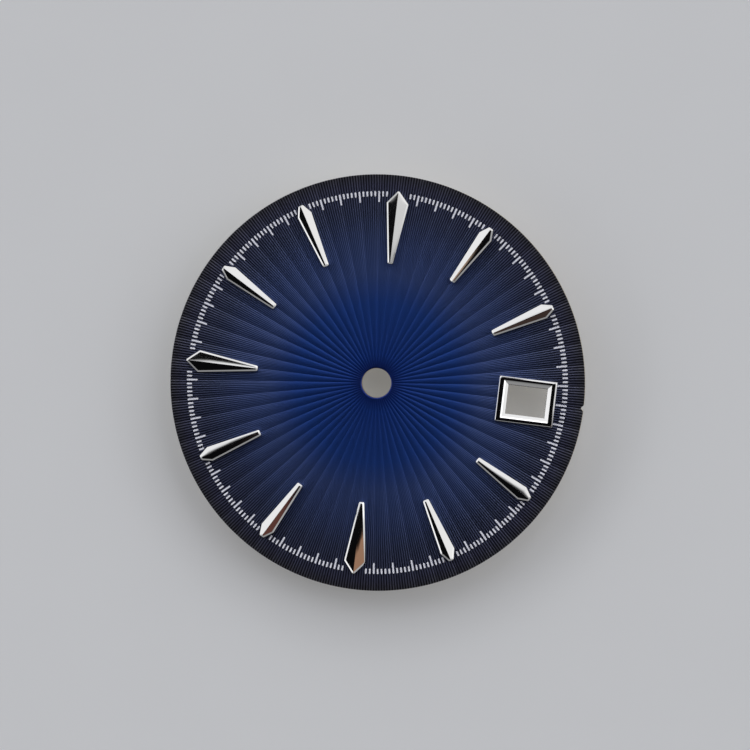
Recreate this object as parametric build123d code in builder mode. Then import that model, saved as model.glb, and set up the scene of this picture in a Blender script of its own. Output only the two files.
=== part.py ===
from build123d import *
import os
from math import atan, cos, degrees, radians, sin, sqrt, tan

# Watch dial with a fluted sunburst face, applied indices and a framed date window.
# Millimetres. The origin is the centre of the hand hole at the back face of the plate.
# +Z points at the reader, +Y at 12 o'clock and +X at 3 o'clock.

# Plate
dial_diameter = 28.5
plate_thickness = 0.4
centre_hole_diameter = 2.0
notch_depth = 0.2
notch_width = 0.44
notch_root_radius = 0.06
notch_shoulder_radius = 0.12

# Rays stamped into the face, one for each minute, with their valleys on the minutes
ray_count = 60
ray_depth = 0.06

# Minute track: five positions for each minute
positions_per_minute = 5
track_margin = 1.15
minute_tick_length = 0.75
short_tick_length = 0.37
tick_width = 0.125
ink_thickness = 0.02
ink_clearance = 0.004

# Applied indices, all cut from one height of bar
index_height = 0.5
index_roof_angle = 22
index_flank_width = 0.09
index_tip_overhang = 0.05
seat_clearance = 0.005

# Large indices at 12, 6 and 9
large_length = 4.95
large_shoulder_setback = 0.82
large_width = 1.49
large_inner_width = 0.34
large_tip_width = 0.1

# Small indices at the other hours
small_length = 4.48
small_shoulder_setback = 0.68
small_width = 1.0
small_inner_width = 0.4
small_tip_width = 0.32

# Riveted feet of the indices and of the date frame, with few sides because there are many
rivet_foot_diameter = 0.3
rivet_head_diameter = 0.44
rivet_head_height = 0.1
rivet_sides = 8
rivet_clearance = 0.02
index_foot_inset = 0.9

# Date frame
frame_length = 4.0
frame_width = 3.14
frame_height = 0.32
frame_corner_radius = 0.1
frame_outer_bevel = 0.14
frame_mitre_radius = 0.03
frame_track_gap = 0.02
frame_foot_inset = 0.25
date_opening_length = 2.68
date_opening_width = 2.0
date_bevel_run = 0.32
date_bevel_land = 0.05
aperture_clearance = 0.03

# Dial feet on the back, which pass into the movement
dial_foot_diameter = 0.75
dial_foot_length = 2.0
dial_foot_tip_chamfer = 0.08
dial_foot_root_diameter = 1.1
dial_foot_root_height = 0.12
dial_foot_seat_clearance = 0.02
dial_foot_margin = 1.9
dial_foot_clock_angles = {"a": 45, "b": 222}

overrun = 0.1

# Derived sizes
dial_radius = dial_diameter / 2
ray_pitch = 360 / ray_count
half_ray = radians(ray_pitch / 2)
# Each ray is a strip of a cone with its apex at the dial's centre and its crest level.
# This is the tangent of the cone's half angle, for which the valleys reach ray_depth at the rim.
cone_slope = (sqrt(dial_radius**2 + ray_depth**2) - dial_radius * cos(half_ray)) / ray_depth
track_outer_radius = dial_radius - track_margin
index_tip_radius = track_outer_radius + index_tip_overhang
frame_outer_x = track_outer_radius - minute_tick_length - frame_track_gap
frame_centre_x = frame_outer_x - frame_length / 2
rivet_foot_radius = rivet_foot_diameter / 2
rivet_head_radius = rivet_head_diameter / 2
dial_foot_radius = dial_radius - dial_foot_margin
seat_level = plate_thickness + seat_clearance

large_shape = {
    "length": large_length,
    "setback": large_shoulder_setback,
    "width": large_width,
    "inner_width": large_inner_width,
    "tip_width": large_tip_width,
}
small_shape = {
    "length": small_length,
    "setback": small_shoulder_setback,
    "width": small_width,
    "inner_width": small_inner_width,
    "tip_width": small_tip_width,
}
# Positions of the track that each kind of index covers on either side of its hour
covered_by_large = 2
covered_by_small = 1
hour_count = 12
large_hours = ["12", "06", "09"]
small_hours = ["01", "02", "04", "05", "07", "08", "10", "11"]


def angle_of(hour):
    """Clock angle of an hour, in degrees."""
    return int(hour) * 360 / hour_count


def turn_of(clock_angle):
    """Turn about +Z that brings +X to a clock angle, in degrees."""
    return 90 - clock_angle


def on_dial(clock_angle, radius, height=0):
    """Point at a clock angle and a radius."""
    turn = radians(turn_of(clock_angle))
    return (radius * cos(turn), radius * sin(turn), height)


def along(clock_angle, height=0):
    """Plane at a height, its X running outwards at a clock angle."""
    return Plane(origin=(0, 0, height), x_dir=on_dial(clock_angle, 1), z_dir=(0, 0, 1))


def across(clock_angle, radius):
    """Upright plane square to the ray at a clock angle: X runs across it and Y is height."""
    ray = on_dial(clock_angle, 1)
    return Plane(origin=on_dial(clock_angle, radius), x_dir=(-ray[1], ray[0], 0), z_dir=ray)


def face_level(radius, clock_angle):
    """Height of the fluted face at a point."""
    from_crest = radians(clock_angle % ray_pitch) - half_ray
    along_ray = radius * cos(from_crest) * cone_slope
    off_ray = radius * sin(from_crest)
    flatness = 1 - cone_slope**2
    drop = (along_ray - sqrt(along_ray**2 - flatness * off_ray**2)) / flatness
    return plate_thickness - drop


def index_outline(shape):
    """Kite with blunt ends, along +X."""
    inner = index_tip_radius - shape["length"]
    shoulder = index_tip_radius - shape["setback"]
    half = [
        (inner, shape["inner_width"] / 2),
        (shoulder, shape["width"] / 2),
        (index_tip_radius, shape["tip_width"] / 2),
    ]
    return half + [(x, -y) for x, y in reversed(half)]


def index_feet(shape):
    """Radii of an index's two feet."""
    inner = index_tip_radius - shape["length"] + index_foot_inset
    return [inner, index_tip_radius - index_foot_inset]


def feet_of_indices():
    """Places of the feet of all the indices."""
    kinds = [(large_shape, large_hours), (small_shape, small_hours)]
    return [
        on_dial(angle_of(hour), radius)
        for shape, hours in kinds
        for hour in hours
        for radius in index_feet(shape)
    ]


def feet_of_frame():
    """Places of the date frame's feet, at two opposite corners."""
    reach_x = frame_length / 2 - frame_foot_inset
    reach_y = frame_width / 2 - frame_foot_inset
    return [(frame_centre_x - reach_x, reach_y, 0), (frame_centre_x + reach_x, -reach_y, 0)]


def rivet_feet(places, clearance=0):
    """Feet through the plate with riveted heads in its back, or with a clearance their holes."""
    neck = (rivet_head_radius - rivet_foot_radius) * cos(radians(180 / rivet_sides))
    with BuildPart() as feet:
        with BuildSketch():
            with Locations(*places):
                RegularPolygon(rivet_foot_radius + clearance, rivet_sides)
        extrude(amount=seat_level + seat_clearance)
        with BuildSketch():
            with Locations(*places):
                RegularPolygon(rivet_head_radius + clearance, rivet_sides)
        extrude(amount=rivet_head_height, taper=degrees(atan(neck / rivet_head_height)))
    return feet.part


# Tool that leaves one ray, its sides on two neighbouring valleys
cutter_start = centre_hole_diameter / 4
cutter_end = dial_radius + overrun
cutter_top = plate_thickness + 2 * overrun
cone_angle = atan(cone_slope)
with BuildPart() as ray_cutter:
    with BuildSketch(Plane.XY.offset(plate_thickness - ray_depth - overrun)):
        with BuildLine():
            Polyline(
                (cutter_start, cutter_start * tan(half_ray)),
                (cutter_end, cutter_end * tan(half_ray)),
                (cutter_end, -cutter_end * tan(half_ray)),
                (cutter_start, -cutter_start * tan(half_ray)),
                close=True,
            )
        make_face()
    extrude(amount=ray_depth + 3 * overrun)
    cone_plane = Plane(
        origin=(0, 0, plate_thickness),
        x_dir=(-sin(cone_angle), 0, -cos(cone_angle)),
        z_dir=(cos(cone_angle), 0, -sin(cone_angle)),
    )
    with Locations(cone_plane):
        Cone(
            0,
            (cutter_end + overrun) * sin(cone_angle),
            (cutter_end + overrun) * cos(cone_angle),
            align=(Align.CENTER, Align.CENTER, Align.MIN),
            mode=Mode.SUBTRACT,
        )

# Dial plate
with BuildPart() as dial_plate:
    with BuildSketch() as outline:
        Circle(dial_radius)
        with BuildLine():
            Polyline(
                (dial_radius - notch_depth, 0),
                (dial_radius + notch_depth, notch_width),
                (dial_radius + notch_depth, -notch_width),
                close=True,
            )
        make_face(mode=Mode.SUBTRACT)
        corners = outline.vertices().group_by(Axis.X)[-1]
        root = outline.vertices().sort_by_distance((dial_radius - notch_depth, 0))[0]
        fillet(corners, notch_shoulder_radius)
        fillet(root, notch_root_radius)
    extrude(amount=plate_thickness + overrun)
    with PolarLocations(0, ray_count, start_angle=ray_pitch / 2):
        add(ray_cutter.part, mode=Mode.SUBTRACT)
    with BuildSketch():
        Circle(centre_hole_diameter / 2)
        with Locations((frame_centre_x, 0)):
            Rectangle(
                date_opening_length + 2 * aperture_clearance,
                date_opening_width + 2 * aperture_clearance,
            )
    extrude(amount=cutter_top, mode=Mode.SUBTRACT)
    add(rivet_feet(feet_of_indices() + feet_of_frame(), rivet_clearance), mode=Mode.SUBTRACT)
    with Locations(*[on_dial(angle, dial_foot_radius) for angle in dial_foot_clock_angles.values()]):
        Cylinder(
            dial_foot_root_diameter / 2 + dial_foot_seat_clearance,
            dial_foot_root_height,
            align=(Align.CENTER, Align.CENTER, Align.MIN),
            mode=Mode.SUBTRACT,
        )
dial_plate.part.label = "dial_plate"


def make_index(shape, hour):
    """Faceted index: a roof of two facets over a kite, with a bevelled flank all round."""
    clock_angle = angle_of(hour)
    inner = index_tip_radius - shape["length"]
    half_width = shape["width"] / 2
    roof_drop = (half_width + overrun) * tan(radians(index_roof_angle))
    ridge_level = seat_level + index_height
    with BuildPart() as index:
        with BuildSketch(along(clock_angle, seat_level)):
            with BuildLine():
                Polyline(*index_outline(shape), close=True)
            make_face()
        extrude(amount=index_height)
        with BuildSketch(across(clock_angle, inner - overrun)):
            with BuildLine():
                Polyline(
                    (-half_width - overrun, 0),
                    (-half_width - overrun, ridge_level - roof_drop),
                    (0, ridge_level),
                    (half_width + overrun, ridge_level - roof_drop),
                    (half_width + overrun, 0),
                    close=True,
                )
            make_face()
        extrude(amount=shape["length"] + 2 * overrun, mode=Mode.INTERSECT)
        facets = index.faces().filter_by(lambda face: face.normal_at().Z > sin(radians(index_roof_angle)))
        ridge = facets[0].edges().filter_by(lambda edge: edge in facets[1].edges())
        eaves = [edge for facet in facets for edge in facet.edges() if edge not in ridge]
        chamfer(eaves, index_flank_width)
        add(rivet_feet([on_dial(clock_angle, radius) for radius in index_feet(shape)]))
    index.part.label = f"index_{hour}"
    return index.part


indices = [make_index(large_shape, hour) for hour in large_hours]
indices += [make_index(small_shape, hour) for hour in small_hours]

# Date frame
with BuildPart() as date_frame:
    with BuildSketch(Plane.XY.offset(seat_level)):
        with Locations((frame_centre_x, 0)):
            RectangleRounded(frame_length, frame_width, frame_corner_radius)
    extrude(amount=frame_height - frame_outer_bevel)
    with BuildSketch(Plane.XY.offset(seat_level + frame_height - frame_outer_bevel)):
        with Locations((frame_centre_x, 0)):
            RectangleRounded(frame_length, frame_width, frame_corner_radius)
    with BuildSketch(Plane.XY.offset(seat_level + frame_height)):
        with Locations((frame_centre_x, 0)):
            RectangleRounded(
                frame_length - 2 * frame_outer_bevel,
                frame_width - 2 * frame_outer_bevel,
                frame_mitre_radius,
            )
    loft(ruled=True)
    with BuildSketch(Plane.XY.offset(seat_level)):
        with Locations((frame_centre_x, 0)):
            Rectangle(date_opening_length, date_opening_width)
    extrude(amount=date_bevel_land, mode=Mode.SUBTRACT)
    with BuildSketch(Plane.XY.offset(seat_level + date_bevel_land)):
        with Locations((frame_centre_x, 0)):
            Rectangle(date_opening_length, date_opening_width)
    with BuildSketch(Plane.XY.offset(seat_level + frame_height)):
        with Locations((frame_centre_x, 0)):
            Rectangle(date_opening_length + 2 * date_bevel_run, date_opening_width + 2 * date_bevel_run)
    loft(ruled=True, mode=Mode.SUBTRACT)
    add(rivet_feet(feet_of_frame()))
date_frame.part.label = "date_frame"


def make_dial_foot(name, clock_angle):
    """Copper foot, its root let into the plate's back."""
    with BuildPart() as foot:
        with BuildSketch(Plane(origin=on_dial(clock_angle, dial_foot_radius))):
            Circle(dial_foot_root_diameter / 2)
        extrude(amount=dial_foot_root_height)
        with BuildSketch(Plane(origin=on_dial(clock_angle, dial_foot_radius))):
            Circle(dial_foot_diameter / 2)
        extrude(amount=-dial_foot_length)
        chamfer(foot.faces().sort_by(Axis.Z)[0].edges(), dial_foot_tip_chamfer)
    foot.part.label = f"dial_foot_{name}"
    return foot.part


dial_feet = [make_dial_foot(name, angle) for name, angle in dial_foot_clock_angles.items()]


def make_tick(clock_angle, length, steps):
    """One printed tick whose underside follows the face, drawn by its two end sections."""
    with BuildPart() as tick:
        for radius in (track_outer_radius - length, track_outer_radius):
            floor = []
            for step in steps:
                offset = step * tick_width / 2
                turn = degrees(atan(offset / radius))
                level = face_level(sqrt(radius**2 + offset**2), clock_angle - turn)
                floor.append((offset, level + ink_clearance))
            with BuildSketch(across(clock_angle, radius)):
                with BuildLine():
                    top = [(x, level + ink_thickness) for x, level in reversed(floor)]
                    Polyline(*floor, *top, close=True)
                make_face()
        loft(ruled=True)
    return tick.part


def shown(position):
    """Whether a position of the track is clear of the indices."""
    positions = ray_count * positions_per_minute
    for hours, covered in ((large_hours, covered_by_large), (small_hours, covered_by_small)):
        for hour in hours:
            distance = abs(position - int(hour) * positions // hour_count)
            if min(distance, positions - distance) <= covered:
                return False
    return True


def pattern_of(blank, first):
    """Copies of a tick from its first position at each shown one, minute by minute."""
    minutes = [minute for minute in range(ray_count) if shown(first + minute * positions_per_minute)]
    with BuildPart() as ticks:
        with Locations(*[Location((0, 0, 0), (0, 0, -minute * ray_pitch)) for minute in minutes]):
            add(blank)
    return ticks.part


minute_blank = make_tick(0, minute_tick_length, (-1, 0, 1))
with BuildPart() as minute_ticks:
    add(pattern_of(minute_blank, 0))
minute_ticks.part.label = "minute_ticks"

with BuildPart() as short_ticks:
    for place in range(1, positions_per_minute):
        clock_angle = place * ray_pitch / positions_per_minute
        add(pattern_of(make_tick(clock_angle, short_tick_length, (-1, 1)), place))
short_ticks.part.label = "short_ticks"

os.makedirs("parts", exist_ok=True)
pieces = [dial_plate.part, *indices, date_frame.part, *dial_feet, minute_ticks.part, short_ticks.part]
for piece in pieces:
    export_step(piece, f"parts/{piece.label}.step")
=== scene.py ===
import math

import bmesh
import bpy
from mathutils import Matrix, Vector


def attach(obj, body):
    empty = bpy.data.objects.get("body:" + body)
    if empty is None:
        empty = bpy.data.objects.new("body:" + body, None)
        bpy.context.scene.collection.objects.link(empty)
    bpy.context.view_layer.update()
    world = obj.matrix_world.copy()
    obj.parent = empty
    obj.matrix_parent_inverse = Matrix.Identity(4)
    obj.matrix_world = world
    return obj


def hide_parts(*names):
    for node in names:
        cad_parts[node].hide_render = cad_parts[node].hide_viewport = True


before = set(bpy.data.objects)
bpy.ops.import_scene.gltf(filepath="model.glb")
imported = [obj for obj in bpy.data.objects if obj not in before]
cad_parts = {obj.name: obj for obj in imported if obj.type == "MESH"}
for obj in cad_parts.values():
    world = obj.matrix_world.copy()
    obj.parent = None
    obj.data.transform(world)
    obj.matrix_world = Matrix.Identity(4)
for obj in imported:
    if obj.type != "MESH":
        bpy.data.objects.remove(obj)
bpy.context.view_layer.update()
mm = 0.001

# +Z is towards the reader, +Y at 12, +X at 3. Pieces are drawn in millimetres, and finishPiece
# brings them to metres.
near = 0.0001        # mm within which two places count as one
cutReach = 0.00001   # the same for a plane that cuts a mesh
weldReach = 0.0002   # the same for corners that are welded
degreesPerHour = 30


def turned(clockAngle):
    return Matrix.Rotation(math.radians(90 - clockAngle), 4, "Z")    # +X to a clock angle


def onDial(clockAngle, radius):
    turn = math.radians(clockAngle)
    return Vector((radius * math.sin(turn), radius * math.cos(turn), 0))


def vertsOf(items):
    return [item for item in items if isinstance(item, bmesh.types.BMVert)]


def edgesOf(items):
    return [item for item in items if isinstance(item, bmesh.types.BMEdge)]


def isUpright(edge):
    return abs(edge.verts[0].co.z - edge.verts[1].co.z) > near


def closeUp(bm, weld=weldReach):
    bmesh.ops.remove_doubles(bm, verts=bm.verts, dist=weld)
    bmesh.ops.recalc_face_normals(bm, faces=bm.faces)


def bevelEdges(bm, edges, offset, segments):
    return bmesh.ops.bevel(
        bm, geom=edges, offset=offset, segments=segments,
        affect="EDGES", profile=0.5, material=-1,
    )["faces"]


def sliceFaces(bm, faces, point, normal):
    edges = {edge for face in faces for edge in face.edges}
    verts = {vert for face in faces for vert in face.verts}
    bmesh.ops.bisect_plane(
        bm, geom=faces + list(edges) + list(verts), dist=cutReach, plane_co=point, plane_no=normal,
    )


def finishPiece(name, bm, materials, nodes, sharpAngle=None):
    bmesh.ops.scale(bm, vec=(mm, mm, mm), verts=bm.verts)
    mesh = bpy.data.meshes.new(name)
    bm.to_mesh(mesh)
    bm.free()
    for material in materials:
        mesh.materials.append(material)
    if sharpAngle is not None:
        mesh.polygons.foreach_set("use_smooth", [True] * len(mesh.polygons))
        mesh.set_sharp_from_angle(angle=math.radians(sharpAngle))
    piece = bpy.data.objects.new(name, mesh)
    bpy.context.scene.collection.objects.link(piece)
    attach(piece, "root")
    for node in nodes:
        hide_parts(node)
    return piece


class Value:
    # one output of a node: sums on it add Math nodes

    def __init__(self, tree, socket=None):
        self.tree = tree
        self.socket = socket

    def node(self, kind, settings, sockets, output=0):
        made = self.tree.nodes.new(kind)
        for name, setting in settings.items():
            if name == "stops":
                ramp = made.color_ramp.elements
                while len(ramp) < len(setting):
                    ramp.new(0.5)
                for element, (position, colour) in zip(ramp, setting):
                    element.position = position
                    element.color = (*colour, 1)
            else:
                setattr(made, name, setting)
        for name, given in sockets.items():
            if isinstance(given, Value):
                self.tree.links.new(given.socket, made.inputs[name])
            else:
                made.inputs[name].default_value = given
        return Value(self.tree, made.outputs[output]) if made.outputs else None

    def sum(self, operation, first, second=0.0, third=0.0):
        given = {0: first, 1: second, 2: third}
        return self.node("ShaderNodeMath", {"operation": operation}, given)

    def vectorSum(self, operation, *given):
        return self.node("ShaderNodeVectorMath", {"operation": operation}, dict(enumerate(given)))

    def __add__(self, other):
        return self.sum("ADD", self, other)

    def __radd__(self, other):
        return self.sum("ADD", other, self)

    def __sub__(self, other):
        return self.sum("SUBTRACT", self, other)

    def __rsub__(self, other):
        return self.sum("SUBTRACT", other, self)

    def __mul__(self, other):
        return self.sum("MULTIPLY", self, other)

    def __rmul__(self, other):
        return self.sum("MULTIPLY", other, self)

    def smoothStep(self, low, high):
        return self.node("ShaderNodeMapRange", {"interpolation_type": "SMOOTHSTEP"}, {
            "Value": self, "From Min": low, "From Max": high,
        })


def newMaterial(name):
    material = bpy.data.materials.new(name)
    material.use_nodes = True
    material.node_tree.nodes.clear()
    return material, Value(material.node_tree)


def surface(start, sockets):
    shader = start.node("ShaderNodeBsdfPrincipled", {}, sockets)
    start.node("ShaderNodeOutputMaterial", {}, {"Surface": shader})


def placeInMm(start):
    place = start.node("ShaderNodeTexCoord", {}, {}, "Object")
    return start.node("ShaderNodeVectorMath", {"operation": "SCALE"}, {0: place, "Scale": 1 / mm})


def radiusOf(start, place):
    flat = start.vectorSum("MULTIPLY", place, (1, 1, 0))
    return start.node("ShaderNodeVectorMath", {"operation": "LENGTH"}, {0: flat}, "Value")


def noise(start, place, scale, detail):
    return start.node("ShaderNodeTexNoise", {}, {"Vector": place, "Scale": scale, "Detail": detail})


metals = {
    "polishedRhodium": {
        "colour": (0.61, 0.61, 0.615), "roughness": 0.06, "markDepth": 0.0, "markScale": 9.0,
    },
    "stampedBrass": {
        "colour": (0.70, 0.60, 0.38), "roughness": 0.34, "markDepth": 0.006, "markScale": 4.0,
    },
    "turnedCopper": {
        "colour": (0.80, 0.42, 0.27), "roughness": 0.25, "markDepth": 0.004, "markScale": 8.0,
    },
}
metalMarks = {
    "stretch": (1, 6, 1),
    "detail": 4.0,
    "roughnessSpread": 0.5,      # share of a metal's roughness
    "bumpStrength": 0.3,
}


def makeMetal(name):
    metal = metals[name]
    roughness = metal["roughness"]
    material, start = newMaterial(name)
    stretched = start.vectorSum("MULTIPLY", placeInMm(start), metalMarks["stretch"])
    marks = noise(start, stretched, metal["markScale"], metalMarks["detail"])
    surface(start, {
        "Base Color": (*metal["colour"], 1),
        "Metallic": 1.0,
        "Roughness": roughness + (marks - 0.5) * (roughness * metalMarks["roughnessSpread"]),
        "Normal": start.node("ShaderNodeBump", {}, {
            "Strength": metalMarks["bumpStrength"],
            "Distance": metal["markDepth"] * mm,
            "Height": marks,
        }),
    })
    return material


rhodium = makeMetal("polishedRhodium")
brass = makeMetal("stampedBrass")
copper = makeMetal("turnedCopper")
print("metals made")


plate = {
    "radius": 14.249,
    "thickness": 0.4,
    "holeRadius": 1.0,
    "holeRounding": 0.1,
    "roundingTurns": (0, 30, 60, 90),
    "edgeChamfer": 0.03,
    "rays": 60,
    "rayDepth": 0.022,           # of the valleys, from rayRadius outwards
    "rayRadius": 3.0,
    "sharpValleys": 6.5,         # radius to which the valleys are sharp
    "groovesPerRay": 8,
    "grooveSlope": 14,           # degrees, halfway down a groove's side
    "grooveFade": (4.8, 8.0),    # radii between which the grooves come in
    "columnsPerGroove": 6,
    "ringRadii": (
        1.14, 1.5, 2.1, 2.9, 3.8, 4.8, 5.2, 5.6, 6.0, 6.4, 6.8, 7.3, 8.0, 10.0, 12.2, 14.22,
    ),
    "sharpAngle": 48,
    "seatGap": 0.005,            # between the ray crests and what stands on them
    "lacquerFacing": 0.3,        # faces whose normal points up by more than this are lacquered
    "cutterHeight": 4,
    "aperture": {"centreX": 10.33, "size": (2.74, 2.06)},
    "notch": {"depth": 0.2, "halfWidth": 0.44, "rootRadius": 0.06, "rootSegments": 4},
}
lacquer = {
    "grainScale": 14.0,
    "grainDetail": 3.0,
    "grainShift": 0.15,          # mm by which the fade's edge wavers
    "roughnessSpread": 0.06,
    "roughness": 0.42,
    "coatRoughness": 0.3,
    "coatIor": 1.85,
    "coatWeights": (0.14, 0.47),
    "coatReach": (4.0, 8.0),     # radii between which the coat's weight rises
    "paintedGrooveShade": 0.15,        # painted shade: share of the colour and of the coat's weight left in the bottom of a groove, where its crest keeps all
    "paintedLineFade": (7.0, 12.5),     # radii between which the painted highlight lines on the crests, and the painted shade between them, come in
    # radius, colour of the metal under the lacquer; close to the hole the colour is darker
    "fade": [
        (1.0, (0.0055, 0.022, 0.170)),
        (2.0, (0.016, 0.066, 0.385)),
        (3.0, (0.022, 0.081, 0.425)),
        (5.5, (0.029, 0.101, 0.482)),
        (7.5, (0.060, 0.114, 0.372)),
        (9.5, (0.063, 0.103, 0.295)),
        (11.5, (0.057, 0.077, 0.175)),
        (13.5, (0.062, 0.067, 0.130)),
        (14.2, (0.056, 0.056, 0.074)),
    ],
}


def makeLacquer():
    material, start = newMaterial("fumeLacquer")
    place = placeInMm(start)
    grain = noise(start, place, lacquer["grainScale"], lacquer["grainDetail"])
    radius = radiusOf(start, place) + (grain - 0.5) * lacquer["grainShift"]
    stops = [(stop / plate["radius"], colour) for stop, colour in lacquer["fade"]]
    share = radius * (1 / plate["radius"])
    colour = start.node("ShaderNodeValToRGB", {"stops": stops}, {"Fac": share})
    parts = start.node("ShaderNodeSeparateXYZ", {}, {"Vector": place})
    x, y = (Value(start.tree, output) for output in parts.socket.node.outputs[:2])
    # painted highlight and shade: the crests of the grooves are painted as thin light lines and
    # their bottoms darker, with the mean over a groove kept at 1
    bottom = lacquer["paintedGrooveShade"]
    turns = start.sum("ARCTAN2", x, y) * (plate["rays"] * plate["groovesPerRay"])
    crest = 0.5 - 0.5 * start.sum("COSINE", turns)
    meanSquare = 3 / 8           # of crest, over a groove
    mean = bottom + (1 - bottom) * meanSquare
    line = (bottom + (1 - bottom) * (crest * crest)) * (1 / mean)
    # lit carries the painted highlight on the crests and the painted shade in the grooves, fading
    # in with the radius
    lit = 1 + radius.smoothStep(*lacquer["paintedLineFade"]) * (line - 1)
    thin, full = lacquer["coatWeights"]
    surface(start, {
        "Base Color": start.node("ShaderNodeVectorMath", {"operation": "SCALE"}, {
            0: colour, "Scale": lit,
        }),
        "Metallic": 1.0,
        "Roughness": lacquer["roughness"] + (grain - 0.5) * lacquer["roughnessSpread"],
        # the coat's weight carries the same painted highlight and shade as the colour
        "Coat Weight": lit * (thin + radius.smoothStep(*lacquer["coatReach"]) * (full - thin)),
        "Coat Roughness": lacquer["coatRoughness"],
        "Coat IOR": lacquer["coatIor"],
    })
    return material


halfRay = math.pi / plate["rays"]


def faceLevel(radius, fromCrest):
    # crests lie at the plate's full thickness, valleys a little lower
    valleyDrop = plate["rayDepth"] * math.tanh(radius / plate["rayRadius"])
    return plate["thickness"] - valleyDrop * (fromCrest / halfRay) ** 2


def fromCrestAt(clockAngle):
    return math.radians(clockAngle % (360 / plate["rays"])) - halfRay


def grooveDrop(radius, column):
    low, high = plate["grooveFade"]
    share = min(max((radius - low) / (high - low), 0), 1)
    pitch = radius * 2 * halfRay / plate["groovesPerRay"]
    fullDepth = pitch / math.pi * math.tan(math.radians(plate["grooveSlope"]))
    depth = fullDepth * share * share * (3 - 2 * share)
    return depth * (1 + math.cos(2 * math.pi * column / plate["columnsPerGroove"])) / 2


def makeDialFace():
    columns = plate["groovesPerRay"] * plate["columnsPerGroove"]
    rounding = plate["holeRounding"]
    rings = []
    for turn in plate["roundingTurns"]:
        inwards, down = (1 - part(math.radians(turn)) for part in (math.cos, math.sin))
        rings.append((plate["holeRadius"] + rounding * inwards, rounding * down))
    rings += [(radius, 0) for radius in plate["ringRadii"]]
    rings.append((plate["radius"], plate["edgeChamfer"]))
    bm = bmesh.new()
    bmesh.ops.create_grid(bm, x_segments=columns, y_segments=len(rings) - 1, size=1)
    for vert in bm.verts:
        column = round((vert.co.x + 1) / 2 * columns)
        radius, lowered = rings[round((vert.co.y + 1) / 2 * (len(rings) - 1))]
        fromCrest = (column / columns * 2 - 1) * halfRay
        level = faceLevel(radius, fromCrest) - grooveDrop(radius, column) - lowered
        vert.co = (radius * math.sin(fromCrest), radius * math.cos(fromCrest), level)
    # sharp along the inner part of the valleys, and where the face turns into the rim's chamfer
    for edge in bm.edges:
        radii = [round(vert.co.xy.length, 4) for vert in edge.verts]
        if radii[0] == radii[1]:
            edge.smooth = radii[0] != plate["ringRadii"][-1]
        else:
            edge.smooth = not edge.is_boundary or max(radii) > plate["sharpValleys"]
    for face in bm.faces:
        face.smooth = True
    bmesh.ops.rotate(bm, verts=bm.verts, matrix=Matrix.Rotation(halfRay, 3, "Z"))
    bmesh.ops.spin(
        bm, geom=bm.verts[:] + bm.edges[:] + bm.faces[:], axis=(0, 0, 1), cent=(0, 0, 0),
        angle=2 * halfRay * (plate["rays"] - 1), steps=plate["rays"] - 1, use_duplicate=True,
    )
    bmesh.ops.remove_doubles(bm, verts=bm.verts, dist=weldReach)
    # walls of the rim and of the hole, then the back between them
    openEdges = [edge for edge in bm.edges if edge.is_boundary]
    walls = bmesh.ops.extrude_edge_only(bm, edges=openEdges)["geom"]
    for vert in vertsOf(walls):
        vert.co.z = 0
    bmesh.ops.bridge_loops(bm, edges=[edge for edge in edgesOf(walls) if edge.is_boundary])
    for edge in bm.edges:
        if edge.calc_face_angle(0) > math.radians(plate["sharpAngle"]):
            edge.smooth = False
    bmesh.ops.recalc_face_normals(bm, faces=bm.faces)
    return bm


def makeCutter():
    # date aperture, and the locating notch in the rim at 3
    bm = bmesh.new()
    height = plate["cutterHeight"]
    length, width = plate["aperture"]["size"]
    middle = Matrix.Translation((plate["aperture"]["centreX"], 0, 0))
    bmesh.ops.create_cube(bm, size=1, matrix=middle @ Matrix.Diagonal((length, width, height, 1)))
    notch = plate["notch"]
    root = plate["radius"] - notch["depth"]
    mouth = plate["radius"] + notch["depth"]
    corners = ((root, 0), (mouth, notch["halfWidth"]), (mouth, -notch["halfWidth"]))
    face = bm.faces.new([bm.verts.new((x, y, -height / 2)) for x, y in corners])
    wall = bmesh.ops.extrude_face_region(bm, geom=[face])["geom"]
    bmesh.ops.translate(bm, vec=(0, 0, height), verts=vertsOf(wall))
    rootEdge = [
        edge for edge in bm.edges
        if all(abs(vert.co.x - root) < near and abs(vert.co.y) < near for vert in edge.verts)
    ]
    bevelEdges(bm, rootEdge, notch["rootRadius"], notch["rootSegments"])
    bmesh.ops.recalc_face_normals(bm, faces=bm.faces)
    return bm


def cutAway(bm, cutterMesh):
    objects = []
    for name, source in (("blank", bm), ("cutter", cutterMesh)):
        mesh = bpy.data.meshes.new(name)
        source.to_mesh(mesh)
        source.free()
        objects.append(bpy.data.objects.new(name, mesh))
        bpy.context.scene.collection.objects.link(objects[-1])
    blank, cutter = objects
    boolean = blank.modifiers.new("cut", "BOOLEAN")
    boolean.operation = "DIFFERENCE"
    boolean.solver = "EXACT"
    boolean.object = cutter
    evaluated = blank.evaluated_get(bpy.context.evaluated_depsgraph_get())
    cut = bpy.data.meshes.new_from_object(evaluated)
    result = bmesh.new()
    result.from_mesh(cut)
    for item in objects:
        mesh = item.data
        bpy.data.objects.remove(item)
        bpy.data.meshes.remove(mesh)
    bpy.data.meshes.remove(cut)
    return result


plateMesh = cutAway(makeDialFace(), makeCutter())
for face in plateMesh.faces:
    face.material_index = 0 if face.normal.z > plate["lacquerFacing"] else 1
dialFace = finishPiece(
    "dialFace", plateMesh, [makeLacquer(), brass], ["dial_plate"],
)
print("dial face made", len(dialFace.data.polygons))


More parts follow.
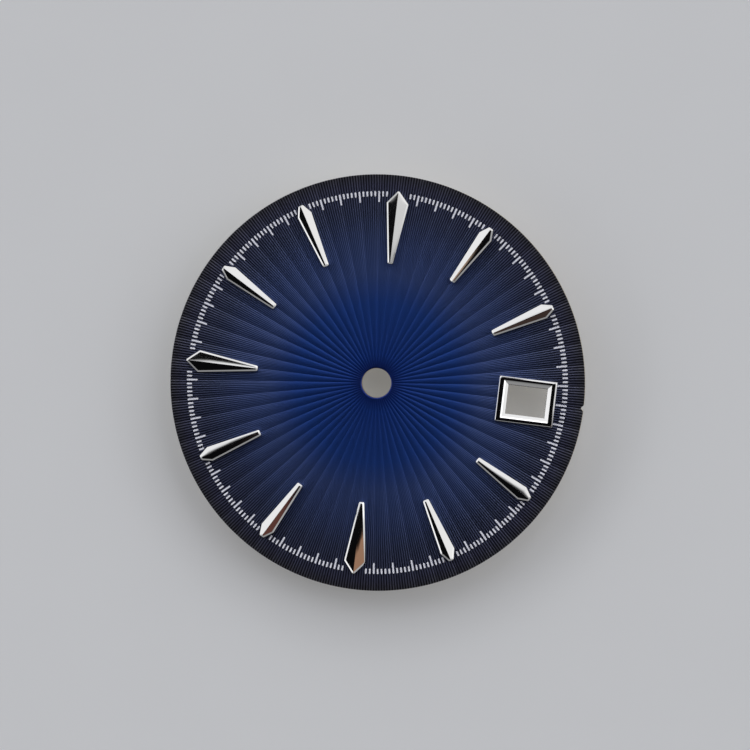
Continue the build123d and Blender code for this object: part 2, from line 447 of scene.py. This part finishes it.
track = {
    "positions": 300,            # five to a minute, each with a tick unless an index is near
    "perMinute": 5,
    "perHour": 25,
    "outerRadius": 13.1,
    "minuteLength": 0.75,
    "shortLength": 0.37,
    "width": 0.125,
    "sides": 12,
    "clearance": 0.004,
    "thickness": 0.016,
    "softEdge": 0.007,
    "sharpAngle": 35,
    "besideLargeIndex": 2,       # positions without a tick on each side
    "besideSmallIndex": 1,
}
inkLook = {
    "grainScale": 20.0,
    "grainDetail": 2.0,
    "colours": ((0.82, 0.84, 0.99, 1), (0.90, 0.92, 1.0, 1)),
    "roughness": 0.45,
}
largeHours = (12, 6, 9)
smallHours = (1, 2, 4, 5, 7, 8, 10, 11)


def makeInk():
    material, start = newMaterial("printedInk")
    grain = noise(start, placeInMm(start), inkLook["grainScale"], inkLook["grainDetail"])
    first, second = inkLook["colours"]
    colour = start.node("ShaderNodeMix", {"data_type": "RGBA"}, {
        "Factor": grain, "A": first, "B": second,
    }, "Result")
    surface(start, {"Base Color": colour, "Roughness": inkLook["roughness"]})
    return material


def hasTick(position):
    kept = ((largeHours, track["besideLargeIndex"]), (smallHours, track["besideSmallIndex"]))
    for hours, beside in kept:
        for hour in hours:
            distance = abs(position - hour * track["perHour"]) % track["positions"]
            if min(distance, track["positions"] - distance) <= beside:
                return False
    return True


def addTick(bm, clockAngle, length, onValley):
    half = track["width"] / 2
    before = set(bm.verts)
    bmesh.ops.create_circle(bm, cap_ends=True, segments=track["sides"], radius=half)
    fresh = [vert for vert in bm.verts if vert not in before]
    for vert in fresh:
        vert.co.x += math.copysign(length / 2 - half, vert.co.x)
    raised = vertsOf(bmesh.ops.extrude_face_region(bm, geom=[fresh[0].link_faces[0]])["geom"])
    bmesh.ops.translate(bm, vec=(0, 0, track["thickness"]), verts=raised)
    topEdges = {
        edge for vert in raised for edge in vert.link_edges if edge.other_vert(vert) in raised
    }
    bevelEdges(bm, list(topEdges), track["softEdge"], 1)
    fresh = [vert for vert in bm.verts if vert not in before]
    if onValley:
        # a line down the middle lets the tick follow the fold of a valley
        faces = {face for vert in fresh for face in vert.link_faces}
        sliceFaces(bm, list(faces), (0, 0, 0), (0, 1, 0))
        fresh = [vert for vert in bm.verts if vert not in before]
    bmesh.ops.translate(bm, vec=(track["outerRadius"] - length / 2, 0, 0), verts=fresh)
    bmesh.ops.transform(bm, matrix=turned(clockAngle), verts=fresh)
    for vert in fresh:
        angle = math.degrees(math.atan2(vert.co.x, vert.co.y))
        vert.co.z += faceLevel(vert.co.xy.length, fromCrestAt(angle)) + track["clearance"]


ink = makeInk()
minuteMesh = bmesh.new()
shortMesh = bmesh.new()
for position in filter(hasTick, range(track["positions"])):
    clockAngle = position * (360 / track["positions"])
    if position % track["perMinute"] == 0:
        addTick(minuteMesh, clockAngle, track["minuteLength"], True)
    else:
        addTick(shortMesh, clockAngle, track["shortLength"], False)
for name, mesh, node in (
    ("minuteInk", minuteMesh, "minute_ticks"),
    ("shortInk", shortMesh, "short_ticks"),
):
    bmesh.ops.recalc_face_normals(mesh, faces=mesh.faces)
    finishPiece(name, mesh, [ink], [node], track["sharpAngle"])
print("minute track made")


seatLevel = plate["thickness"] + plate["seatGap"]
# widths at the inner end, the shoulder and the tip, with the shoulder a setback from the tip
largeIndex = {"length": 4.95, "setback": 0.82, "width": 1.49, "inner": 0.34, "tip": 0.1}
smallIndex = {"length": 4.48, "setback": 0.68, "width": 1.0, "inner": 0.4, "tip": 0.32}
indexCut = {
    "tipRadius": 13.15,
    "height": 0.5,
    "spareHeight": 0.1,          # of the blank, above the ridge
    "roofAngle": 22,
    "roofFacing": 0.86,          # faces whose normal points up by more than this are roof
    "flankWidth": 0.11,
    "flankAngle": 38,
    "flankFacing": 0.5,          # the same for the roof and its flank together
    "innerRounding": 0.09,
    "tipRounding": 0.05,
    "roundingShare": 0.45,       # largest rounding, as a share of the width there
    "roundingSegments": 3,
    "crown": 2.5,                # degrees by which a facet turns between its middle and its edge
    "lengthwiseCrown": 1.5,
    "facetCuts": 5,
    "crossCuts": (0.2, 0.4, 0.6, 0.8, 1),    # shares of the way from inner end to shoulder
    "leastReach": 0.01,          # half width of a roof at its narrowest
    "stillBase": 0.01,           # height above the seat that no tilt changes
    "edgeRadius": 0.01,
    "edgeSegments": 2,
    "edgeAngle": 20,
    "sharpAngle": 14,
    # how an hour's roof was cut, in degrees: roll at the tip, roll at the inner end, pitch
    "attitudes": {
        12: (1, 0, 0), 1: (0, 3, 0), 2: (0, 0, 1.5), 4: (-2, 0.5, 0), 6: (6, -5, 2), 8: (2, 5, 0),
        9: (0.3, 2.5, 0), 10: (-1, -1, 0),
    },
    "rivet": {
        "radius": 0.22, "taper": 0.8, "sides": 24, "inset": 0.9, "proud": 0.015, "sunk": 0.005,
    },
}


def innerEnd(shape):
    return indexCut["tipRadius"] - shape["length"]


def shoulderOf(shape):
    return indexCut["tipRadius"] - shape["setback"]


def outlineWidth(shape, radius):
    inner, shoulder = innerEnd(shape), shoulderOf(shape)
    if radius < shoulder:
        share = (radius - inner) / (shoulder - inner)
        return shape["inner"] + share * (shape["width"] - shape["inner"])
    share = (radius - shoulder) / shape["setback"]
    return shape["width"] + share * (shape["tip"] - shape["width"])


def roofReach(shape, radius):
    # half the width of the roof, inside its flank
    return max(outlineWidth(shape, radius) / 2 - indexCut["flankWidth"], indexCut["leastReach"])


def roofOf(bm, side=0):
    return [
        face for face in bm.faces
        if face.normal.z > indexCut["roofFacing"] and face.calc_center_median().y * side >= 0
    ]


def makeBlank(shape):
    inner, shoulder, tip = innerEnd(shape), shoulderOf(shape), indexCut["tipRadius"]
    bm = bmesh.new()
    half = [(inner, shape["inner"] / 2), (shoulder, shape["width"] / 2), (tip, shape["tip"] / 2)]
    outline = half + [(x, -y) for x, y in reversed(half)]
    blank = bm.faces.new([bm.verts.new((x, y, seatLevel)) for x, y in outline])
    raised = vertsOf(bmesh.ops.extrude_face_region(bm, geom=[blank])["geom"])
    height = indexCut["height"] + indexCut["spareHeight"]
    bmesh.ops.translate(bm, vec=(0, 0, height), verts=raised)
    for radius, rounding in ((inner, indexCut["innerRounding"]), (tip, indexCut["tipRounding"])):
        corners = [
            edge for edge in bm.edges
            if isUpright(edge) and all(abs(vert.co.x - radius) < near for vert in edge.verts)
        ]
        largest = outlineWidth(shape, radius) * indexCut["roundingShare"]
        bevelEdges(bm, corners, min(rounding, largest), indexCut["roundingSegments"])
    return bm


def cutRoof(bm):
    # two facets, which meet at the ridge
    ridge = (0, 0, seatLevel + indexCut["height"] - indexCut["edgeRadius"] / 2)
    slope = math.radians(indexCut["roofAngle"])
    for side in (1, -1):
        cut = bmesh.ops.bisect_plane(
            bm, geom=bm.verts[:] + bm.edges[:] + bm.faces[:], dist=cutReach, plane_co=ridge,
            plane_no=(0, side * math.sin(slope), math.cos(slope)), clear_outer=True,
        )["geom_cut"]
        bmesh.ops.holes_fill(bm, edges=edgesOf(cut), sides=0)
    bmesh.ops.recalc_face_normals(bm, faces=bm.faces)


def cutFlank(bm):
    # the polished flank all round the roof, brought to its own slope
    roof = roofOf(bm)
    eaves = {
        edge for face in roof for edge in face.edges
        if any(other not in roof for other in edge.link_faces)
    }
    flank = bevelEdges(bm, list(eaves), indexCut["flankWidth"], 1)
    bm.normal_update()
    steepness = math.tan(math.radians(indexCut["flankAngle"]))
    onRoof = {vert for face in roofOf(bm) for vert in face.verts}
    for vert in {vert for face in flank for vert in face.verts} - onRoof:
        beside = [edge.other_vert(vert) for edge in vert.link_edges]
        levels = [
            other.co.z - (other.co.xy - vert.co.xy).length * steepness
            for other in beside if other in onRoof
        ]
        if levels:
            vert.co.z = sum(levels) / len(levels)


def sliceFacets(bm, shape):
    # lines along and across the facets, so that they can swell a little
    inner, shoulder, tip = innerEnd(shape), shoulderOf(shape), indexCut["tipRadius"]
    reach = {radius: roofReach(shape, radius) for radius in (inner, shoulder, tip)}
    for radius, rise in (
        (inner, (reach[shoulder] - reach[inner]) / (shoulder - inner)),
        (tip, (reach[tip] - reach[shoulder]) / (tip - shoulder)),
    ):
        apex = (radius - reach[radius] / rise, 0, 0)
        for step in range(1, indexCut["facetCuts"] + 1):
            share = step / (indexCut["facetCuts"] + 1)
            for side in (1, -1):
                sliceFaces(bm, roofOf(bm, side), apex, (-side * share * rise, 1, 0))
    for share in indexCut["crossCuts"]:
        roofAndFlank = [face for face in bm.faces if face.normal.z > indexCut["flankFacing"]]
        sliceFaces(bm, roofAndFlank, (inner + (shoulder - inner) * share, 0, 0), (1, 0, 0))


def swellAndTilt(bm, shape, attitude):
    for vert in {vert for face in roofOf(bm) for vert in face.verts}:
        reach = roofReach(shape, vert.co.x)
        across = min(abs(vert.co.y) / reach, 1)
        vert.co.z += reach * math.radians(indexCut["crown"]) * across * (1 - across)
    tipRoll, innerRoll, pitch = (math.radians(angle) for angle in attitude)
    sag = shape["length"] / 4 * math.radians(indexCut["lengthwiseCrown"])
    flattening = math.cos(math.radians(indexCut["roofAngle"])) ** 2
    for vert in bm.verts:
        if vert.co.z > seatLevel + indexCut["stillBase"]:
            share = (vert.co.x - innerEnd(shape)) / shape["length"]
            rolled = vert.co.y * (innerRoll + share * (tipRoll - innerRoll)) / flattening
            pitched = shape["length"] * share * pitch
            vert.co.z -= rolled + sag * (2 * share - 1) ** 2 + pitched


def addRivets(bm, shape):
    # riveted ends of the feet, on the plate's back
    rivet = indexCut["rivet"]
    for radius in (innerEnd(shape) + rivet["inset"], indexCut["tipRadius"] - rivet["inset"]):
        before = set(bm.verts)
        bmesh.ops.create_circle(
            bm, cap_ends=True, segments=rivet["sides"], radius=rivet["radius"],
        )
        upper = [vert for vert in bm.verts if vert not in before]
        disc = upper[0].link_faces[0]
        lower = vertsOf(bmesh.ops.extrude_face_region(bm, geom=[disc])["geom"])
        bmesh.ops.scale(bm, vec=(rivet["taper"], rivet["taper"], 1), verts=lower)
        bmesh.ops.translate(bm, vec=(0, 0, -rivet["proud"] - rivet["sunk"]), verts=lower)
        bmesh.ops.translate(bm, vec=(radius, 0, rivet["sunk"]), verts=upper + lower)


def makeIndex(hour, shape):
    bm = makeBlank(shape)
    cutRoof(bm)
    cutFlank(bm)
    sliceFacets(bm, shape)
    swellAndTilt(bm, shape, indexCut["attitudes"].get(hour, (0, 0, 0)))
    addRivets(bm, shape)
    bmesh.ops.transform(bm, matrix=turned(hour * degreesPerHour), verts=bm.verts)
    closeUp(bm)
    piece = finishPiece(
        "hour%02d" % hour, bm, [rhodium], ["index_%02d" % hour],
        indexCut["sharpAngle"],
    )
    edges = piece.modifiers.new("polishedEdges", "BEVEL")
    edges.width = indexCut["edgeRadius"] * mm
    edges.segments = indexCut["edgeSegments"]
    edges.limit_method = "ANGLE"
    edges.angle_limit = math.radians(indexCut["edgeAngle"])
    edges.harden_normals = True


for hour in largeHours:
    makeIndex(hour, largeIndex)
for hour in smallHours:
    makeIndex(hour, smallIndex)
print("indices made")


dateFrame = {
    "centreX": 10.33,
    "size": (4.0, 3.14),
    "height": 0.32,
    "outerRounding": 0.17,
    "roundingSteps": 6,
    "cornerRadius": 0.08,
    "cornerSegments": 4,
    "opening": (2.68, 2.0),
    "innerBevel": 0.29,
    "innerLand": 0.06,
    "edgeRadius": 0.012,
    "edgeSegments": 2,
    "sharpAngle": 14,
}


def makeDateFrame():
    # a rectangle is drawn out through the levels of the profile, and back to where it began
    top = seatLevel + dateFrame["height"]
    rounding = dateFrame["outerRounding"]
    outer, opening = dateFrame["size"], dateFrame["opening"]
    profile = [(outer, 0, seatLevel)]
    for step in range(dateFrame["roundingSteps"] + 1):
        turn = math.pi / 2 * step / dateFrame["roundingSteps"]
        inwards, down = (rounding * (part(turn) - 1) for part in (math.cos, math.sin))
        profile.append((outer, inwards, top + down))
    profile += [
        (opening, dateFrame["innerBevel"], top),
        (opening, 0, seatLevel + dateFrame["innerLand"]),
        (opening, 0, seatLevel),
        profile[0],
    ]
    bm = bmesh.new()
    bmesh.ops.create_grid(bm, x_segments=1, y_segments=1, size=1)
    bmesh.ops.delete(bm, geom=bm.faces[:], context="FACES_ONLY")
    loop = bm.edges[:]
    for index, (size, grow, level) in enumerate(profile):
        if index > 0:
            drawn = edgesOf(bmesh.ops.extrude_edge_only(bm, edges=loop)["geom"])
            loop = [edge for edge in drawn if edge.is_boundary]
        for vert in {vert for edge in loop for vert in edge.verts}:
            x, y = (math.copysign(side / 2 + grow, part) for side, part in zip(size, vert.co.xy))
            vert.co = (x, y, level)
    closeUp(bm, near)
    # rounded outer corners, then a small radius on the edge of the inner bevel
    bevelEdge = opening[0] / 2 + dateFrame["innerBevel"] + near
    corners = [
        edge for edge in bm.edges
        if isUpright(edge) and all(abs(vert.co.x) > bevelEdge for vert in edge.verts)
    ]
    bevelEdges(bm, corners, dateFrame["cornerRadius"], dateFrame["cornerSegments"])
    inside = [
        edge for edge in bm.edges
        if all(abs(vert.co.z - top) < near and abs(vert.co.x) < bevelEdge for vert in edge.verts)
    ]
    bevelEdges(bm, inside, dateFrame["edgeRadius"], dateFrame["edgeSegments"])
    bmesh.ops.translate(bm, vec=(dateFrame["centreX"], 0, 0), verts=bm.verts)
    closeUp(bm, near)
    return bm


finishPiece(
    "dateFrame", makeDateFrame(), [rhodium], ["date_frame"],
    dateFrame["sharpAngle"],
)
print("date frame made")


dialFoot = {
    "radius": 0.375,
    "length": 2.0,
    "tipChamfer": 0.08,
    # how far the brazed root reaches beyond the shank, and at what level, down to its fillet
    "root": [
        (0.155, 0.01), (0.155, -0.012), (0.125, -0.02), (0.05, -0.02), (0.012, -0.05), (0, -0.1),
    ],
    "margin": 1.9,               # from the plate's rim to the middle of a foot
    "clockAngles": {"A": 45, "B": 222},
    "steps": 48,
    "sharpAngle": 30,
}


def makeDialFoot(name, clockAngle):
    radius, chamfer, length = dialFoot["radius"], dialFoot["tipChamfer"], dialFoot["length"]
    # the root, then the shank and the chamfered tip
    profile = [(0, dialFoot["root"][0][1])]
    profile += [(radius + beyond, level) for beyond, level in dialFoot["root"]]
    profile += [(radius, chamfer - length), (radius - chamfer, -length), (0, -length)]
    bm = bmesh.new()
    points = [bm.verts.new((x, 0, z)) for x, z in profile]
    line = [bm.edges.new(pair) for pair in zip(points, points[1:])]
    bmesh.ops.spin(
        bm, geom=points + line, axis=(0, 0, 1), cent=(0, 0, 0),
        angle=2 * math.pi, steps=dialFoot["steps"], use_merge=True,
    )
    middle = onDial(clockAngle, plate["radius"] - dialFoot["margin"])
    bmesh.ops.translate(bm, vec=middle, verts=bm.verts)
    closeUp(bm)
    finishPiece(
        "foot" + name, bm, [copper], ["dial_foot_" + name.lower()],
        dialFoot["sharpAngle"],
    )


for name, clockAngle in dialFoot["clockAngles"].items():
    makeDialFoot(name, clockAngle)
print("dial feet made")


viewpoint = {
    "distance": 260.0,           # mm from the middle of the face
    "toTheRight": 5.95,          # degrees off the face's normal
    "upward": 1.65,
    "dialTurn": 6.84,            # 12 o'clock, clockwise from upright
    "pixelsPerMm": 14.63,
    "centrePixel": (376.42, 382.9),
    "imageSize": 750,
    "sensor": 36.0,
    "clipStart": 0.01,           # metres
}


def placeCamera():
    turn = Matrix.Rotation(math.radians(viewpoint["dialTurn"]), 3, "Z")
    sideways = math.sin(math.radians(viewpoint["toTheRight"]))
    upwards = math.sin(math.radians(viewpoint["upward"]))
    back = Vector((sideways, upwards, math.sqrt(1 - sideways ** 2 - upwards ** 2)))
    right = Vector((0, 1, 0)).cross(back).normalized()
    axes = turn @ Matrix((right, back.cross(right), back)).transposed()
    size = viewpoint["imageSize"]
    data = bpy.data.cameras.new("camera")
    data.sensor_width = viewpoint["sensor"]
    data.lens = viewpoint["pixelsPerMm"] * viewpoint["distance"] / size * viewpoint["sensor"]
    data.shift_x = 0.5 - viewpoint["centrePixel"][0] / size
    data.shift_y = viewpoint["centrePixel"][1] / size - 0.5
    data.clip_start = viewpoint["clipStart"]
    camera = bpy.data.objects.new("camera", data)
    place = (Vector((0, 0, plate["thickness"])) + turn @ back * viewpoint["distance"]) * mm
    camera.matrix_world = Matrix.Translation(place) @ axes.to_4x4()
    bpy.context.scene.collection.objects.link(camera)
    bpy.context.scene.camera = camera


placeCamera()


floorLook = {
    "colour": (0.74, 0.755, 0.79),
    "darkest": 0.98,             # share of that colour where the floor is darkest
    "toneScale": 0.15,
    "toneDetail": 2.0,
    "glow": 0.18,                # how much of the floor's look is there without light
    "radius": 2.0,               # metres
    "sides": 64,
}
studio = {
    "backdrop": (0.60, 0.61, 0.63),
    "everywhere": (0.004, 0.004, 0.0045),    # light that comes from all sides
    # azimuth clockwise from the picture's top and zenith angle, in degrees: middle, half width
    # and soft edge of each
    "windows": {
        "left": {
            "azimuth": (314.5, 30.5, 4), "zenith": (64, 24, 3), "light": (1.3, 1.3, 1.3),
        },
        "rightInner": {
            "azimuth": (20.5, 20.5, 4), "zenith": (62, 26, 3), "light": (1.3, 1.3, 1.3),
        },
        "right": {
            "azimuth": (65.5, 24.5, 3), "zenith": (58, 30, 3), "light": (1.3, 1.29, 1.27),
        },
        "rightEdge": {
            "azimuth": (96, 6, 3), "zenith": (58, 30, 3), "light": (0.95, 0.95, 0.94),
        },
        "bridge": {
            "azimuth": (355, 17, 5), "zenith": (28, 10, 1.5), "light": (1.3, 1.3, 1.3),
        },
        "skirting": {
            "azimuth": (0, 110, 20), "zenith": (64, 4, 3), "light": (1.6, 1.6, 1.6),
        },
        "gap": {
            "azimuth": (352.5, 8, 4), "zenith": (78, 14, 6), "light": (1.2, 1.2, 1.2),
        },
        "lowLeft": {
            "azimuth": (261, 23, 4), "zenith": (76, 15, 3), "light": (1.2, 1.2, 1.2),
        },
        "lowRight": {
            "azimuth": (125, 18, 8), "zenith": (80, 12, 8), "light": (0.2, 0.2, 0.2),
        },
        "horizon": {
            "azimuth": (180, 96, 20), "zenith": (80, 12, 8), "light": (0.4, 0.4, 0.4),
        },
        "warmCard": {
            "azimuth": (111, 6, 2), "zenith": (49.5, 8.5, 2), "light": (0.47, 0.26, 0.16),
        },
        "tanCard": {
            "azimuth": (136, 5, 2), "zenith": (32, 4, 2), "light": (0.55, 0.40, 0.30),
        },
        "warmBand": {
            "azimuth": (142, 6, 2), "zenith": (42, 9, 4), "light": (0.15, 0.060, 0.046),
        },
        "dimBand": {
            "azimuth": (157, 8, 2), "zenith": (42, 9, 4), "light": (0.06, 0.038, 0.030),
        },
    },
}


def makeFloor():
    material, start = newMaterial("paleFloor")
    shade = noise(start, placeInMm(start), floorLook["toneScale"], floorLook["toneDetail"])
    light = floorLook["colour"]
    dark = tuple(part * floorLook["darkest"] for part in light)
    colour = start.node("ShaderNodeValToRGB", {"stops": [(0, dark), (1, light)]}, {"Fac": shade})
    lit = start.node("ShaderNodeBsdfDiffuse", {}, {"Color": colour})
    glow = start.node("ShaderNodeEmission", {}, {"Color": colour, "Strength": 1.0})
    path = start.node("ShaderNodeLightPath", {}, {}, "Is Camera Ray")
    glossy = Value(path.tree, path.socket.node.outputs["Is Glossy Ray"])
    through = Value(path.tree, path.socket.node.outputs["Is Transmission Ray"])
    share = (path + glossy + through) * floorLook["glow"]
    mixed = start.node("ShaderNodeMixShader", {}, {0: share, 1: lit, 2: glow})
    start.node("ShaderNodeOutputMaterial", {}, {"Surface": mixed})
    bm = bmesh.new()
    bmesh.ops.create_circle(
        bm, cap_ends=True, segments=floorLook["sides"], radius=floorLook["radius"],
    )
    bmesh.ops.translate(bm, vec=(0, 0, -dialFoot["length"] * mm), verts=bm.verts)
    mesh = bpy.data.meshes.new("floor")
    bm.to_mesh(mesh)
    bm.free()
    mesh.materials.append(material)
    floor = bpy.data.objects.new("floor", mesh)
    bpy.context.scene.collection.objects.link(floor)


def within(start, value, reach, soft):
    # 1 inside the reach, 0 outside, with a soft edge
    return start.sum("ABSOLUTE", value).smoothStep(reach + soft, reach - soft)


def makeStudio():
    world = bpy.data.worlds.new("studio")
    world.use_nodes = True
    world.node_tree.nodes.clear()
    start = Value(world.node_tree)
    direction = start.node("ShaderNodeTexCoord", {}, {}, "Generated")
    parts = start.node("ShaderNodeSeparateXYZ", {}, {"Vector": direction})
    x, y, z = (Value(start.tree, output) for output in parts.socket.node.outputs)
    degrees = 180 / math.pi
    azimuth = start.sum("ARCTAN2", x, y) * degrees + viewpoint["dialTurn"]
    zenith = start.sum("ARCCOSINE", z) * degrees
    light = studio["everywhere"]
    for window in studio["windows"].values():
        middle, reach, soft = window["azimuth"]
        turn = start.sum("WRAP", azimuth - middle, 180.0, -180.0)
        across = within(start, turn, reach, soft)
        middle, reach, soft = window["zenith"]
        mask = across * within(start, zenith - middle, reach, soft)
        light = start.vectorSum("MULTIPLY_ADD", window["light"], mask, light)
    seen = start.node("ShaderNodeLightPath", {}, {}, "Is Camera Ray")
    lit = start.node("ShaderNodeBackground", {}, {"Color": light, "Strength": 1.0})
    plain = (*studio["backdrop"], 1)
    backdrop = start.node("ShaderNodeBackground", {}, {"Color": plain, "Strength": 1.0})
    mixed = start.node("ShaderNodeMixShader", {}, {0: seen, 1: lit, 2: backdrop})
    start.node("ShaderNodeOutputWorld", {}, {"Surface": mixed})
    bpy.context.scene.world = world


makeFloor()
makeStudio()
bpy.context.scene.view_settings.view_transform = "Standard"
print("studio made")
